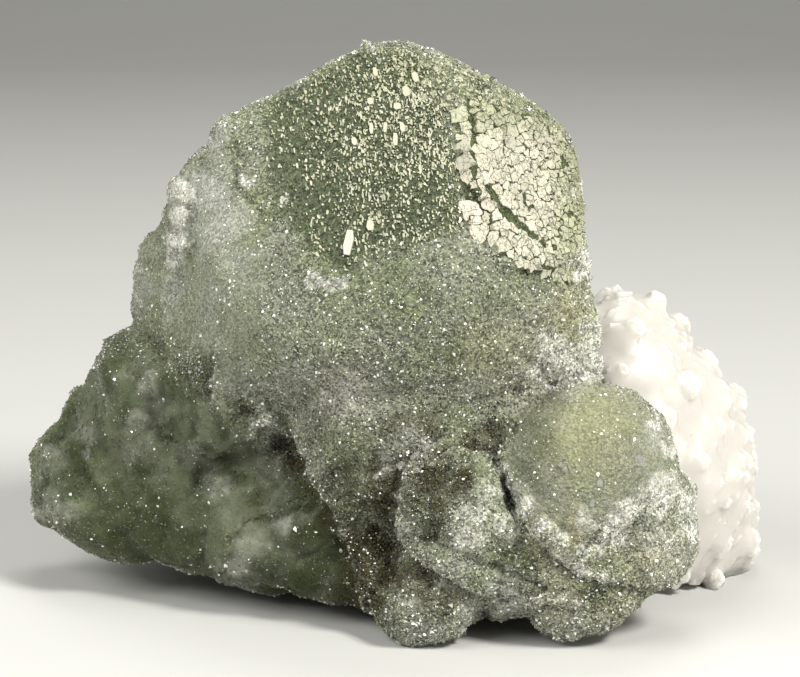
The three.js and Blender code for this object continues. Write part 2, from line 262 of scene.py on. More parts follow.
# %% Outlines of the faces
DARK_FACE = [
    (405, 44), (365, 52), (330, 66), (296, 86), (268, 102), (262, 120), (266, 150), (270, 180),
    (278, 206), (292, 228), (310, 250), (345, 274), (364, 262), (390, 246), (430, 238),
    (468, 226), (458, 190), (455, 150), (448, 116), (436, 92), (424, 66),
]
MOSAIC_FACE = [
    (453, 110), (470, 99), (520, 113), (558, 130), (578, 150), (584, 200), (583, 240), (572, 284),
    (550, 280), (528, 270), (508, 258), (490, 246), (476, 232), (466, 212), (460, 190), (460, 165),
    (459, 140),
]
CREAM_STRIP = [
    (392, 58), (420, 46), (455, 64), (500, 84), (545, 108), (578, 136), (556, 130), (520, 113),
    (470, 99), (447, 104), (430, 100), (406, 80),
]
SMOOTH_MASSES = [
    (20, 420), (80, 360), (132, 330), (160, 352), (208, 392), (246, 420), (268, 446), (300, 470),
    (330, 500), (352, 560), (372, 612), (300, 612), (60, 590), (20, 540),
]
FINE_FLANK = [
    (202, 120), (232, 130), (232, 172), (258, 210), (268, 260), (262, 320), (250, 385), (225, 400),
    (200, 345), (130, 330), (125, 250), (160, 160),
]
COARSE_FEET = [
    (372, 585), (420, 596), (520, 600), (560, 590), (660, 575), (660, 660), (370, 660),
]
SMALL_CRYSTAL = [
    (505, 465), (512, 432), (530, 400), (560, 382), (612, 382), (645, 400), (668, 440), (682, 478),
    (650, 495), (605, 522), (588, 544), (560, 538), (530, 510),
]


def depth_inside(pixels, outline):
    """How deep pixels lie inside an outline, in millimetres. Outside it is negative."""
    away, _ = to_line(pixels, outline + outline[:1])
    across, down = pixels[:, 0], pixels[:, 1]
    inside = np.zeros(len(pixels), bool)
    for (x1, y1), (x2, y2) in zip(outline, outline[1:] + outline[:1]):
        if y1 != y2:
            crosses = (y1 > down) != (y2 > down)
            inside ^= crosses & (across < x1 + (down - y1) / (y2 - y1) * (x2 - x1))
    return np.where(inside, away, -away)


def face_shares(points, normals):
    """The share of each bare face at each point."""
    pixels = seen(wander(points, 1.3 * MM, 1.0 * MM))
    front = facing(points, normals)
    return {
        "dark_face": front * smooth_step(depth_inside(pixels, DARK_FACE), -1.2, 1.6),
        "mosaic_face": front * smooth_step(depth_inside(pixels, MOSAIC_FACE), -0.3, 0.3),
        "cream_strip": front * smooth_step(depth_inside(pixels, CREAM_STRIP), -0.8, 0.8),
    }


def crust_shares(points, normals):
    """How smooth, how fine and how coarse the crust is at each point."""
    pixels, front = seen(points), facing(points, normals)
    smooth = front * smooth_step(depth_inside(pixels, SMOOTH_MASSES), -1, 3)
    fine = front * smooth_step(depth_inside(pixels, SMALL_CRYSTAL), -0.5, 1.5)
    fine = np.maximum(fine, 0.8 * front * smooth_step(depth_inside(pixels, FINE_FLANK), -2, 2))
    coarse = smooth_step(depth_inside(pixels, COARSE_FEET), -1, 2)
    return smooth, fine, coarse

# %% [markdown]
# ## Relief of the skin
#
# The crust swells in lumps with creases between them, from 6 mm wide down to 2 mm. A lump is round on
# top and meets the next one in a sharp valley, like a heap of balls, so each size of relief is the
# height of a ball over the nearest of many scattered points. Bare faces stay flatter.

# %% Relief
LUMPS = ((6.5, 0.75), (3.2, 0.50), (1.7, 0.34))  # spacing and height in millimetres
BARE_SHARE = 0.22  # how much of the relief the bare faces keep


def lump_heights(points, spacing):
    """The height of balls around scattered points, from 0 in the valleys to 1 on top."""
    return ball(np.array([noise.voronoi(Vector(p) / (spacing * MM))[0][0] for p in points]))


def mesh_positions(data):
    flat = np.empty(len(data.vertices) * 3, np.float32)
    data.vertices.foreach_get("co", flat)
    return flat.reshape(-1, 3).astype(float)


def set_positions(data, places):
    data.vertices.foreach_set("co", places.astype(np.float32).ravel())

def mesh_triangles(data):
    """A mesh's triangles: their corners' numbers, their corners' places, and twice their area vectors."""
    data.calc_loop_triangles()
    corners = np.empty(len(data.loop_triangles) * 3, np.int32)
    data.loop_triangles.foreach_get("vertices", corners)
    corners = corners.reshape(-1, 3)
    places = mesh_positions(data)[corners]
    return corners, places, np.cross(places[:, 1] - places[:, 0], places[:, 2] - places[:, 0])


def unit(vectors):
    return vectors / np.linalg.norm(vectors, axis=-1, keepdims=True)


def mesh_normals(data):
    """The normals of a mesh's points, summed here in a fixed order, so that every run is the same."""
    corners, _, cross = mesh_triangles(data)
    sums = [np.bincount(corners.ravel(), np.repeat(part, 3), len(data.vertices)) for part in cross.T]
    return unit(np.stack(sums, axis=1))


points, normals = mesh_positions(skin.data), mesh_normals(skin.data)
faces = face_shares(points, normals)
bare = np.max(list(faces.values()), axis=0)
lumps = np.zeros(len(points))
for spacing, rise in LUMPS:
    heights = lump_heights(points, spacing)
    lumps += rise * MM * (heights - heights.mean())
smooth, fine, coarse = crust_shares(points, normals)
lumps *= (1 - (1 - BARE_SHARE) * bare) * (1 - 0.8 * faces["mosaic_face"])
lumps *= 1 + 0.7 * smooth - 0.6 * fine + 0.9 * coarse
ledges, painted_rim_highlight, painted_crease_shade = ledge_relief(points, normals)
relief = lumps + ledges
relief *= smooth_step(points[:, 2], 0.1 * MM, 1.2 * MM)  # the flat cut underneath stays flat
points += normals * relief[:, None]
points[:, 2] = np.maximum(points[:, 2], 0)
set_positions(skin.data, points)
skin.data.update()
print("relief in mm:", round(relief.min() / MM, 2), "to", round(relief.max() / MM, 2))

# %% [markdown]
# ## Hollows
#
# Hollows are painted darker and more olive, as painted shade, and clean pale grains grow on rims. To
# find both, each point of the skin is compared with the mean of its neighbours, over a short and a
# long reach. Where that mean lies outside the skin, the place is hollow.

# %% Hollows
NEAR_ROUNDS, FAR_ROUNDS = 8, 90


def averaged(values, data, rounds):
    """Values of a mesh's points, each averaged with its neighbours so many times."""
    ends = np.empty(len(data.edges) * 2, np.int32)
    data.edges.foreach_get("vertices", ends)
    first, second = ends.reshape(-1, 2).T
    neighbours = np.bincount(ends, minlength=len(values))
    for _ in range(rounds):
        total = np.zeros_like(values)
        for axis in range(values.shape[1]):
            total[:, axis] = np.bincount(first, values[second, axis], len(values))
            total[:, axis] += np.bincount(second, values[first, axis], len(values))
        values = total / neighbours[:, None]
    return values


normals = mesh_normals(skin.data)
near_mean = averaged(points, skin.data, NEAR_ROUNDS)
far_mean = averaged(near_mean, skin.data, FAR_ROUNDS)
near_hollow = np.sum((near_mean - points) * normals, axis=1) / MM
far_hollow = np.sum((far_mean - points) * normals, axis=1) / MM
# How hollow each place is. The colour paints shade by it: darker and more olive.
hollow_shade = smooth_step(near_hollow, -0.02, 0.16) * 0.5 + smooth_step(far_hollow, -0.1, 1.3) * 0.5
rim = smooth_step(-near_hollow, 0.02, 0.2)
print("hollow share:", round(hollow_shade.mean(), 2), "rim share:", round(rim.mean(), 2))

# %% [markdown]
# ## Colour places
#
# Five stains of colour lie on the sage-green ground: white crust, a smooth pale haze, olive-brown
# stain, deep green where the crust is thin and the crystal shows, and a yellowish cream bloom. Some
# white and pale spots are painted light, brightening creases, pits and edges that lie in shade, and
# some olive and deep spots are painted shade, in grooves and under the large crystal. In front they
# are soft round spots, listed by their strength: pixel across, pixel down, and radius in pixels. The
# back isn't in the photograph, so noise spreads the same stains there.

# %% Colour spots
STAINS_AND_PAINTED_LIGHT = {
    # White crust, and painted light: several spots brighten the crease and the quartz junction at the
    # large crystal's lower right, the small crystal's right edge, the pit at its left, and a corner below
    # the large crystal at the left, all in shade.
    "white": {
        1: [(626, 512, 13), (660, 487, 12), (658, 508, 14), (578, 262, 17), (592, 345, 16),
            (588, 370, 15), (600, 366, 12)],
        0.9: [(180, 190, 13), (179, 215, 13), (178, 240, 12), (500, 470, 7), (524, 508, 9),
            (540, 528, 11), (612, 530, 13), (676, 484, 12), (688, 500, 13), (580, 570, 10), (600, 578, 8),
            (560, 558, 8), (576, 190, 13), (602, 330, 12)],
        0.8: [(315, 284, 9), (329, 285, 9), (342, 282, 8), (690, 532, 13), (655, 425, 9), (668, 450, 9),
            (238, 568, 16)],
        0.7: [(176, 262, 12), (248, 180, 8), (515, 514, 8), (644, 500, 13), (588, 524, 14),
            (575, 362, 16), (558, 350, 22)],
        0.6: [(282, 202, 6), (470, 536, 15), (556, 545, 12), (684, 478, 9), (560, 534, 9), (504, 596, 12),
            (285, 522, 13), (88, 458, 8), (40, 515, 12), (134, 422, 14), (150, 382, 12), (592, 330, 12),
            (424, 442, 9), (545, 376, 20), (402, 530, 6), (139, 270, 6), (402, 500, 6)],
        0.55: [(480, 512, 16), (576, 555, 14)],
        0.5: [(214, 142, 9), (500, 528, 14), (596, 548, 14), (666, 540, 20), (252, 545, 22),
            (50, 450, 11), (216, 486, 16), (345, 395, 26), (574, 160, 10), (584, 300, 10), (136, 300, 6),
            (268, 425, 12), (412, 550, 6)],
        0.45: [(488, 492, 13)],
        0.4: [(205, 190, 22), (46, 470, 9), (62, 512, 14), (132, 455, 16), (198, 447, 11), (86, 435, 14)],
        0.3: [(225, 225, 20), (220, 128, 10), (252, 582, 12), (575, 612, 14), (635, 596, 14),
            (320, 375, 24)],
        0.2: [(398, 618, 18)],
    },
    # A pale haze, and painted light: several spots brighten the crease below the large crystal, the gap
    # between the feet and the small crystal's right edge, all in shade.
    "pale": {
        1: [(205, 190, 26), (181, 186, 13), (181, 212, 13), (178, 238, 12), (560, 370, 28),
            (590, 368, 20), (508, 605, 18), (688, 515, 14)],
        0.9: [(225, 215, 24), (175, 262, 12), (688, 500, 16), (690, 535, 16), (508, 490, 12),
            (420, 640, 16), (550, 378, 16), (512, 618, 14)],
        0.8: [(210, 235, 24), (655, 435, 16), (238, 570, 22), (475, 612, 12), (568, 640, 18)],
        0.7: [(172, 288, 12), (505, 585, 20), (425, 636, 20), (575, 190, 14), (570, 262, 12),
            (690, 555, 18)],
        0.6: [(216, 148, 14), (530, 385, 20), (264, 430, 20), (455, 572, 18), (660, 570, 16),
            (578, 230, 12), (512, 530, 14), (598, 540, 14), (155, 402, 16), (200, 452, 20),
            (390, 455, 16), (408, 440, 14), (625, 535, 14)],
        0.5: [(232, 255, 20), (215, 458, 20), (240, 445, 14), (565, 632, 20), (475, 555, 14),
            (240, 372, 16), (512, 400, 22), (225, 290, 16)],
        0.4: [(176, 310, 14), (222, 130, 14), (200, 285, 26), (145, 285, 16), (90, 430, 18),
            (640, 545, 22), (480, 400, 22)],
        0.35: [(225, 330, 26), (245, 375, 26), (135, 430, 28), (225, 500, 24)],
        0.3: [(152, 252, 14), (345, 400, 40), (268, 415, 18), (105, 400, 22), (205, 420, 24),
            (475, 520, 26), (650, 560, 16)],
        0.25: [(300, 345, 30)],
        0.2: [(275, 300, 30), (60, 500, 26)],
    },
    # Olive-brown stain, and painted shade: the olive band in the grooves below the large crystal lies in
    # shade.
    "olive_and_painted_shade": {
        1: [(294, 466, 15), (309, 494, 16), (350, 555, 20), (355, 560, 16), (350, 548, 22),
            (358, 578, 22), (464, 480, 14)],
        0.9: [(326, 520, 17), (348, 590, 16), (300, 580, 17), (382, 462, 20), (372, 545, 22),
            (388, 575, 22), (430, 478, 22), (345, 602, 18), (372, 600, 16)],
        0.8: [(278, 442, 12), (380, 500, 22), (408, 456, 22), (390, 480, 14), (418, 572, 14),
            (455, 495, 12), (430, 537, 7)],
        0.7: [(440, 505, 18), (425, 592, 18), (450, 600, 16), (445, 460, 20)],
        0.6: [(258, 500, 13), (395, 432, 26), (425, 430, 26), (412, 505, 16), (340, 525, 14),
            (405, 590, 14), (492, 430, 14), (340, 490, 24), (290, 590, 18)],
        0.5: [(255, 420, 9), (346, 470, 22), (296, 540, 14), (465, 458, 10), (385, 618, 12),
            (560, 395, 14), (640, 575, 14)],
        0.4: [(180, 555, 12), (350, 432, 26), (320, 430, 30), (452, 575, 16), (520, 585, 16)],
        0.35: [(425, 205, 34)],
        0.3: [(466, 440, 18), (280, 170, 26)],
        0.2: [(330, 395, 30)],
    },
    # Deep green, and painted shadow: the spots at the far left, near pixel (74, 455), darken the shadowed
    # groove there.
    "deep": {
        1: [(74, 455, 13)],
        0.9: [(70, 482, 12), (195, 372, 24), (150, 530, 38), (312, 535, 20)],
        0.8: [(76, 425, 10), (296, 498, 14), (515, 545, 14), (525, 568, 14), (595, 590, 15),
            (235, 190, 8), (170, 500, 18), (116, 342, 18)],
        0.7: [(160, 428, 14), (105, 528, 28), (435, 520, 14), (172, 525, 16)],
        0.6: [(180, 500, 22), (510, 492, 6), (185, 505, 22), (292, 480, 16), (300, 590, 20),
            (352, 525, 14)],
        0.5: [(130, 500, 24), (270, 560, 14), (276, 215, 16), (405, 555, 14), (285, 280, 26)],
        0.4: [(118, 400, 20), (540, 440, 22), (525, 470, 16), (640, 530, 18), (440, 612, 14),
            (272, 295, 18), (636, 440, 14), (288, 310, 16)],
        0.35: [(500, 290, 34)],
        0.3: [(390, 285, 70), (170, 345, 16), (540, 290, 20), (330, 262, 14)],
        0.25: [(440, 310, 50), (360, 290, 40)],
        0.2: [(320, 300, 50)],
    },
    "cream": {
        0.8: [(570, 350, 24), (575, 530, 22), (652, 560, 24), (690, 550, 18)],
        0.6: [(570, 310, 26), (550, 540, 30), (625, 540, 18), (572, 250, 16)],
        0.5: [(620, 600, 22), (640, 560, 22), (447, 215, 12), (578, 200, 12)],
        0.45: [(590, 430, 56)],
        0.4: [(580, 402, 34), (560, 605, 26), (330, 590, 16), (110, 548, 22), (60, 530, 16)],
        0.3: [(340, 395, 30), (500, 350, 40), (520, 390, 36)],
    },
}
BACK_STAIN = {"white": 0.7, "pale": 0.5, "olive_and_painted_shade": 0.6, "deep": 0.7, "cream": 0.4}
BACK_PATCH = 9 * MM


def stain_and_painted_light_shares(points, normals):
    """The strength of each stain at each point, painted light and shade among them."""
    pixels = seen(wander(points, 3.2 * MM, 1.3 * MM))
    front = facing(points, normals, -0.3, 0)
    shares = {}
    for number, (name, groups) in enumerate(STAINS_AND_PAINTED_LIGHT.items()):
        share = np.zeros(len(points))
        for strength, spots in groups.items():
            for spot in spots:
                fading = smooth_step(from_spot(pixels, *spot), 0.35, 1.5)
                share = np.maximum(share, strength * (1 - fading))
        shift = Vector((7.7 * number, 0, 0))  # so that every stain has its own noise
        back = np.array([noise.noise(Vector(p) / BACK_PATCH + shift) for p in points])
        shares[name] = share * front + BACK_STAIN[name] * smooth_step(back, 0.1, 0.45) * (1 - front)
    return shares


def store(data, values):
    """Writes values as point attributes of a mesh, for its material to read."""
    for name, value in values.items():
        layer = data.attributes.new(name, "FLOAT", "POINT")
        layer.data.foreach_set("value", np.ascontiguousarray(value, np.float32))


stains_and_painted_light = stain_and_painted_light_shares(points, normals)
# Painted highlight: the white crust is brightened along the upper side of each ledge. Painted shade: the
# olive is deepened along its lower side and in the grooves.
stains_and_painted_light["white"] = np.maximum(stains_and_painted_light["white"], 0.35 * painted_rim_highlight * (1 - 0.4 * smooth))
stains_and_painted_light["olive_and_painted_shade"] = np.maximum(stains_and_painted_light["olive_and_painted_shade"], 0.55 * painted_crease_shade * (1 - 0.6 * fine))
skin_places = {
    **faces, **stains_and_painted_light, "smooth": smooth, "fine": fine, "coarse": coarse, "hollow_shade": hollow_shade, "rim": rim,
}
store(skin.data, skin_places)
skin.data.shade_smooth()
for name, share in skin_places.items():
    print(f"{name}: {share.mean():.3f}")

# %% [markdown]
# ## Many small things from one shape
#
# Grains, flecks and points are made by one idea. A shape is modelled once with mesh operators.
# Then it is repeated at many places, turned and scaled, as one joined mesh. The repeated mesh is
# real geometry, so it casts shadows and shows its edges from every side.

# %% Repeating a shape
def as_arrays(shape):
    """A small modelled shape as an array of corners and a list of faces."""
    shape.verts.index_update()
    corners = np.array([v.co for v in shape.verts])
    faces = [[v.index for v in face.verts] for face in shape.faces]
    shape.free()
    return corners, faces


def as_mesh(name, shape):
    data = bpy.data.meshes.new(name)
    shape.to_mesh(data)
    shape.free()
    return data


def crystal(sides, top_radius, tall, tip=0):
    """A pyramid or prism of unit radius that stands at zero. A tip can be drawn out of its top, or
    out of its base if the tip is negative."""
    shape = bmesh.new()
    bmesh.ops.create_cone(
        shape, cap_ends=True, segments=sides, radius1=1, radius2=top_radius, depth=tall
    )
    bmesh.ops.translate(shape, verts=shape.verts, vec=(0, 0, tall / 2))
    if tip:
        end = max(shape.faces, key=lambda face: face.calc_center_median().z * tip)
        middle = bmesh.ops.poke(shape, faces=[end])["verts"]
        bmesh.ops.translate(shape, verts=middle, vec=(0, 0, tip))
    return as_arrays(shape)


def bevel(shape, edges, width, segments=1):
    bmesh.ops.bevel(
        shape, geom=edges, offset=width, segments=segments, profile=0.5, affect="EDGES", material=-1
    )


def lift(shape, extruded, height):
    """Raises the corners of what was just extruded."""
    corners = [part for part in extruded["geom"] if isinstance(part, bmesh.types.BMVert)]
    bmesh.ops.translate(shape, verts=corners, vec=(0, 0, height))


def axes_along(directions, random):
    """Three axes for each direction, spun at random about it. The direction is the third."""
    helper = unit(random.normal(size=directions.shape))
    first = unit(np.cross(helper, directions))
    return np.stack([first, np.cross(directions, first), directions], axis=1)


def repeat(name, shape, centres, axes, sizes, values):
    """One mesh with the shape at every centre. Sizes are three numbers for each."""
    corners, faces = shape
    count, per = len(centres), len(corners)
    scaled = corners[None] * sizes[:, None, :]
    placed = np.einsum("nkj,njc->nkc", scaled, axes) + centres[:, None, :]
    data = bpy.data.meshes.new(name)
    data.vertices.add(count * per)
    set_positions(data, placed)
    loops = np.concatenate(faces)
    all_loops = (loops[None] + np.arange(count)[:, None] * per).ravel()
    lengths = np.tile([len(f) for f in faces], count)
    data.loops.add(len(all_loops))
    data.loops.foreach_set("vertex_index", all_loops.astype(np.int32))
    data.polygons.add(len(lengths))
    starts = np.concatenate([[0], np.cumsum(lengths)[:-1]])
    data.polygons.foreach_set("loop_start", starts.astype(np.int32))
    data.update(calc_edges=True)
    data.shade_flat()
    store(data, {key: np.repeat(value, per) for key, value in values.items()})
    triangles = sum(len(f) - 2 for f in faces) * count
    print(f"{name}: {count} repeats, {triangles} triangles")
    return link_piece(name, data)


def spread(data, per_mm2, random):
    """Random places on a mesh: their points, their normals, and a nearby vertex of each."""
    corners, triangle, cross = mesh_triangles(data)
    area = np.linalg.norm(cross, axis=1) / 2
    number = int(area.sum() / MM**2 * per_mm2)
    chosen = random.choice(len(area), number, p=area / area.sum())
    a, b = random.random((2, number, 1))
    a, b = np.where(a + b > 1, 1 - a, a), np.where(a + b > 1, 1 - b, b)
    t = triangle[chosen]
    places = t[:, 0] + a * (t[:, 1] - t[:, 0]) + b * (t[:, 2] - t[:, 0])
    return places, unit(cross[chosen]), corners[chosen, 0]


def picked(values, chosen):
    return {key: value[chosen] for key, value in values.items()}

# %% [markdown]
# ## The sparkling crust
#
# The crust is a druse of grains about a third of a millimetre wide. Each is a three-sided pyramid
# that leans its own way, so its flat sides catch the light one by one. They stand thickly on the
# crust, are smaller on the dark face, and are few among the mosaic's plates.

# %% Crust grains
GRAINS_PER_MM2 = 7.5
GRAIN_RADIUS = (0.15, 0.20)  # the smallest in millimetres, and how much the rare big ones add to it
GRAIN_LEAN = 0.8
GRAIN_SINK = 0.4  # as a share of the radius
CRUST_PIECES = 4
random = np.random.default_rng(7)

centres, outward, near = spread(skin.data, GRAINS_PER_MM2, random)
grain = picked(skin_places, near)
keep = 1 - 0.35 * grain["dark_face"] - 0.9 * grain["mosaic_face"] - 0.5 * grain["cream_strip"]
keep -= 0.45 * grain["smooth"]
stands = (random.random(len(centres)) < keep) & (centres[:, 2] > 0.5 * MM)
centres, outward, grain = centres[stands], outward[stands], picked(grain, stands)
count = len(centres)
grown = random.random(count)
radius = GRAIN_RADIUS[0] + GRAIN_RADIUS[1] * grown**5
radius *= 1 + 0.3 * grain["white"] + 0.3 * grain["rim"] + 0.3 * grain["coarse"]
radius *= 1 - 0.35 * grain["dark_face"] - 0.3 * grain["smooth"] - 0.35 * grain["fine"]
lean = unit(outward + GRAIN_LEAN * random.normal(size=outward.shape))
sizes = np.stack([radius, radius * 0.8, radius * (1.0 + 0.7 * random.random(count))], axis=1) * MM
sunk = centres - lean * (radius * GRAIN_SINK * MM)[:, None]
sunk[:, 2] = np.maximum(sunk[:, 2], 0.45 * MM)
axes = axes_along(lean, random)
grain["shade"] = random.random(count)

crust = []
from_below = np.argsort(centres[:, 2])
for number, part in enumerate(np.array_split(from_below, CRUST_PIECES), 1):
    name, here = f"crust_{number}", picked(grain, part)
    crust.append(repeat(name, crystal(3, 0, 1), sunk[part], axes[part], sizes[part], here))

# %% [markdown]
# Brighter crumbs of 0.1 to 0.5 mm sit between the grains, mostly on rims and on the white crust. They
# are little quartz crystals, pointed at both ends, that lie every way and make the sparkles. Their
# near-white colour is partly a painted glint.

# %% Crumbs
CRUMBS_PER_MM2 = 3.2
random = np.random.default_rng(19)

centres, outward, near = spread(skin.data, CRUMBS_PER_MM2, random)
crumb = picked(skin_places, near)
bare_here = np.maximum(crumb["dark_face"], crumb["mosaic_face"])
keep = (0.4 + 0.4 * crumb["rim"] + 0.4 * crumb["white"]) * (1 - 0.97 * bare_here)
keep *= 1 - 0.93 * crumb["smooth"] - 0.6 * crumb["fine"]
stands = (random.random(len(centres)) < keep) & (centres[:, 2] > 1.0 * MM)
centres, crumb = centres[stands], picked(crumb, stands)
count = len(centres)
half = (0.07 + 0.2 * random.random(count) ** 5) * (1 + 0.4 * crumb["smooth"] + 0.2 * crumb["coarse"])
sizes = half[:, None] * (0.7 + 0.6 * random.random((count, 3))) * MM
lean = unit(random.normal(size=centres.shape))
crumb["shade"] = random.random(count)
crumbs = repeat("crumbs", crystal(4, 0, 1.3, -0.9), centres, axes_along(lean, random), sizes, crumb)

# %% [markdown]
# ## The cracked mosaic
#
# On the right bare face the cream crust has shrunk and cracked like dried mud. Every plate is what
# is left of a square after it is cut towards each of its neighbours, less half a crack. The cuts
# lean towards upright and level, as the crystal's own grain does. The same smooth noise then shifts
# the rims of all plates, so two neighbours still fit along their ragged crack. Plates are larger at
# the left of the face, and small in the strip above it. A dark gash runs through them.

# %% Places for the plates
FACE_NORMAL = Vector((0.5, -0.70, 0.51)).normalized()
FACE_MIDDLE = Vector((13, -14, 63)) * MM
FACE_REACH = 14  # how far before and behind the face's plane its skin is looked for, in mm
PLATE_TRIES = 9000
GASH = [(488, 188), (500, 206), (520, 226), (548, 246)]
GASH_WIDTH = 0.75 * MM

skin_tree = BVHTree.FromPolygons(
    [Vector(p) for p in points], [tuple(p.vertices) for p in skin.data.polygons]
)
face_side = Vector((0, 0, 1)).cross(FACE_NORMAL).normalized()
face_up = FACE_NORMAL.cross(face_side)


def on_face(u, v):
    """The place and normal on the skin below a point of the face's own plane."""
    start = FACE_MIDDLE + face_side * u + face_up * v + FACE_NORMAL * FACE_REACH * MM
    place, normal, _, _ = skin_tree.ray_cast(start, -FACE_NORMAL, 2 * FACE_REACH * MM)
    return place, normal


def skin_seen_at(pixels):
    """The places and normals on the skin that the photograph shows at these pixels."""
    across, down = (np.array(pixels, float) - np.array(PHOTO_SIZE) / 2).T / PIXELS_PER_MM * MM
    rays = unit(forward * distance + across[:, None] * SIDEWAYS - down[:, None] * upward)
    hits = [skin_tree.ray_cast(Vector(eye), Vector(ray)) for ray in rays]
    return np.array([hit[0] for hit in hits]), np.array([hit[1] for hit in hits])


def gash_seeds():
    """Places along the gash. They cut their neighbours as plates do, and stay empty."""
    line = np.array(GASH, float)
    pixels = [a + (b - a) * share for a, b in zip(line[:-1], line[1:]) for share in (0, 0.25, 0.5, 0.75)]
    away = skin_seen_at(pixels)[0] - np.array(FACE_MIDDLE)
    return [(u, v, GASH_WIDTH) for u, v in zip(away @ np.array(face_side), away @ np.array(face_up))]


def plate_seeds(random, gash):
    """Places for plates: along, up, width, if in the strip, place on the skin, normal, pixel, chance."""
    tries = random.uniform((-17, -18, 0, 0), (17, 18, 1, 1), (PLATE_TRIES, 4))
    found = [(u * MM, v * MM, size, chance, *on_face(u * MM, v * MM)) for u, v, size, chance in tries]
    found = [f for f in found if f[4] is not None]
    pixels = seen(np.array([f[4] for f in found]))
    in_mosaic = depth_inside(pixels, MOSAIC_FACE)
    in_strip = depth_inside(pixels, CREAM_STRIP)
    seeds = list(gash)
    for (u, v, size, chance, *spot), pixel, deep, strip in zip(found, pixels, in_mosaic, in_strip):
        if deep < 0.3 and strip < -0.1:
            continue
        width = 0.7 if strip > deep else 2.1 - 1.3 * np.clip((pixel[0] - 480) / 85, 0, 1)
        width *= (0.45 + 0.75 * size**1.5) * MM
        if all((u - s[0]) ** 2 + (v - s[1]) ** 2 > (0.45 * (width + s[2])) ** 2 for s in seeds):
            seeds.append((u, v, width, strip > deep, *spot, pixel, chance))
    return seeds


random = np.random.default_rng(3)
gash = gash_seeds()
seeds = plate_seeds(random, gash)
print("places for plates:", len(seeds) - len(gash))

# %% [markdown]
# A plate is cut from its square, moved to its ragged outline, given its thickness and a worn rim, and
# laid on the skin. Each has its own shade. Towards the right and the top they are greener, and some
# at the left are pinker. Half of those in the strip have fallen off, and a few of the others.

# %% Mosaic plates
CRACK = 0.07 * MM
PLATE_THICK = 0.7 * MM
PLATE_RISE = 0.08 * MM
LOST_ON_FACE, LOST_IN_STRIP = 0.015, 0.5  # the shares of plates that have fallen off


def cut_plate(seed, seeds):
    """One plate, cut from a square by a line towards each neighbour."""
    u, v, width = seed[:3]
    plate = bmesh.new()
    bmesh.ops.create_grid(plate, x_segments=1, y_segments=1, size=width * 0.8)
    for other in seeds:
        away = Vector((other[0] - u, other[1] - v, 0))
        if 0 < away.length < (width + other[2]) * 1.2:
            share = 0.5 + (width**2 - other[2] ** 2) / 8 / away.length_squared
            cut = away * min(max(share, 0.3), 0.7) - away.normalized() * CRACK / 2
            if abs(away.x) > abs(away.y):
                away.y *= 0.5
            else:
                away.x *= 0.5
            whole = plate.verts[:] + plate.edges[:] + plate.faces[:]
            bmesh.ops.bisect_plane(plate, geom=whole, plane_co=cut, plane_no=away, clear_outer=True)
    return plate


def raise_plate(plate, thick, middle):
    """Gives a flat plate its thickness, a worn rim and a ragged outline."""
    bmesh.ops.subdivide_edges(plate, edges=plate.edges[:], cuts=4)
    for vertex in plate.verts:
        place = (vertex.co + middle) / MM
        shift = noise.noise_vector(place / 0.9) * 0.5 + noise.noise_vector(place / 0.35) * 0.22
        vertex.co.xy += shift.xy * MM
    lift(plate, bmesh.ops.extrude_face_region(plate, geom=plate.faces[:]), thick)
    bevel(plate, [e for e in plate.edges if all(abs(v.co.z - thick) < 1e-7 for v in e.verts)], 0.05 * MM)
    bmesh.ops.recalc_face_normals(plate, faces=plate.faces)


collected = bmesh.new()
plates = 0
for seed in seeds[len(gash):]:
    u, v, width, strip, place, normal, pixel, chance = seed
    if chance < (LOST_IN_STRIP if strip else LOST_ON_FACE):
        continue
    plate = cut_plate(seed, seeds)
    if not plate.faces:
        plate.free()
        continue
    raise_plate(plate, PLATE_THICK, Vector((u, v, 0)))
    tilt = Vector(random.normal(size=3)) * 0.04
    up = (FACE_NORMAL * 0.2 + normal + tilt).normalized()
    across = (face_side - up * face_side.dot(up)).normalized()
    turn = Matrix((across, up.cross(across), up)).transposed().to_4x4()
    rise = (PLATE_RISE * (1 + random.random()) + 0.03 * width) * (0.5 if strip else 1)
    plate.transform(Matrix.Translation(place + up * (rise - PLATE_THICK)) @ turn)
    greener = max(float(strip), smooth_step(pixel[0], 535, 575), smooth_step(-pixel[1], -150, -110))
    pinker = max(0, 1 - math.hypot(pixel[0] - 470, pixel[1] - 205) / 42)
    for name, value in (("shade", random.random()), ("cream_strip", greener), ("pink", pinker)):
        layer = plate.verts.layers.float.new(name)
        for vertex in plate.verts:
            vertex[layer] = value
    data = as_mesh("plate", plate)
    collected.from_mesh(data)
    bpy.data.meshes.remove(data)
    plates += 1
mosaic = link_piece("mosaic_plates", as_mesh("mosaic_plates", collected))
print("plates:", plates, "faces:", len(mosaic.data.polygons))

# %% [markdown]
# ## Flecks on the dark face
#
# The dark face is covered with thin pale blades that all stand along its slope, more of them towards
# the ridge and the top. A few are larger, and one near the lower corner is 3.4 mm tall.

# %% Flecks
FLECKS_PER_MM2 = 9.0
# Each big fleck has its pixel across and down, half its length and half its width in millimetres,
# and by how many degrees its lower end is turned to the right.
BIG_FLECKS = [
    (349, 243, 1.7, 0.6, -8), (371, 226, 0.7, 0.5, 0), (376, 73, 0.7, 0.3, 15),
    (407, 92, 0.8, 0.5, 15), (371, 102, 0.5, 0.4, 10), (398, 107, 0.5, 0.5, 10),
    (396, 140, 0.9, 0.3, 5), (372, 129, 0.8, 0.25, 8), (355, 142, 0.6, 0.35, 15),
    (386, 128, 0.7, 0.25, 0), (403, 128, 0.7, 0.3, 12), (416, 78, 0.9, 0.4, 20),
]
random = np.random.default_rng(21)


def turned(start, degrees):
    """Directions in the photograph's plane, turned from the start towards the right."""
    angle = np.radians(degrees)[:, None]
    return np.cos(angle) * start + np.sin(angle) * SIDEWAYS


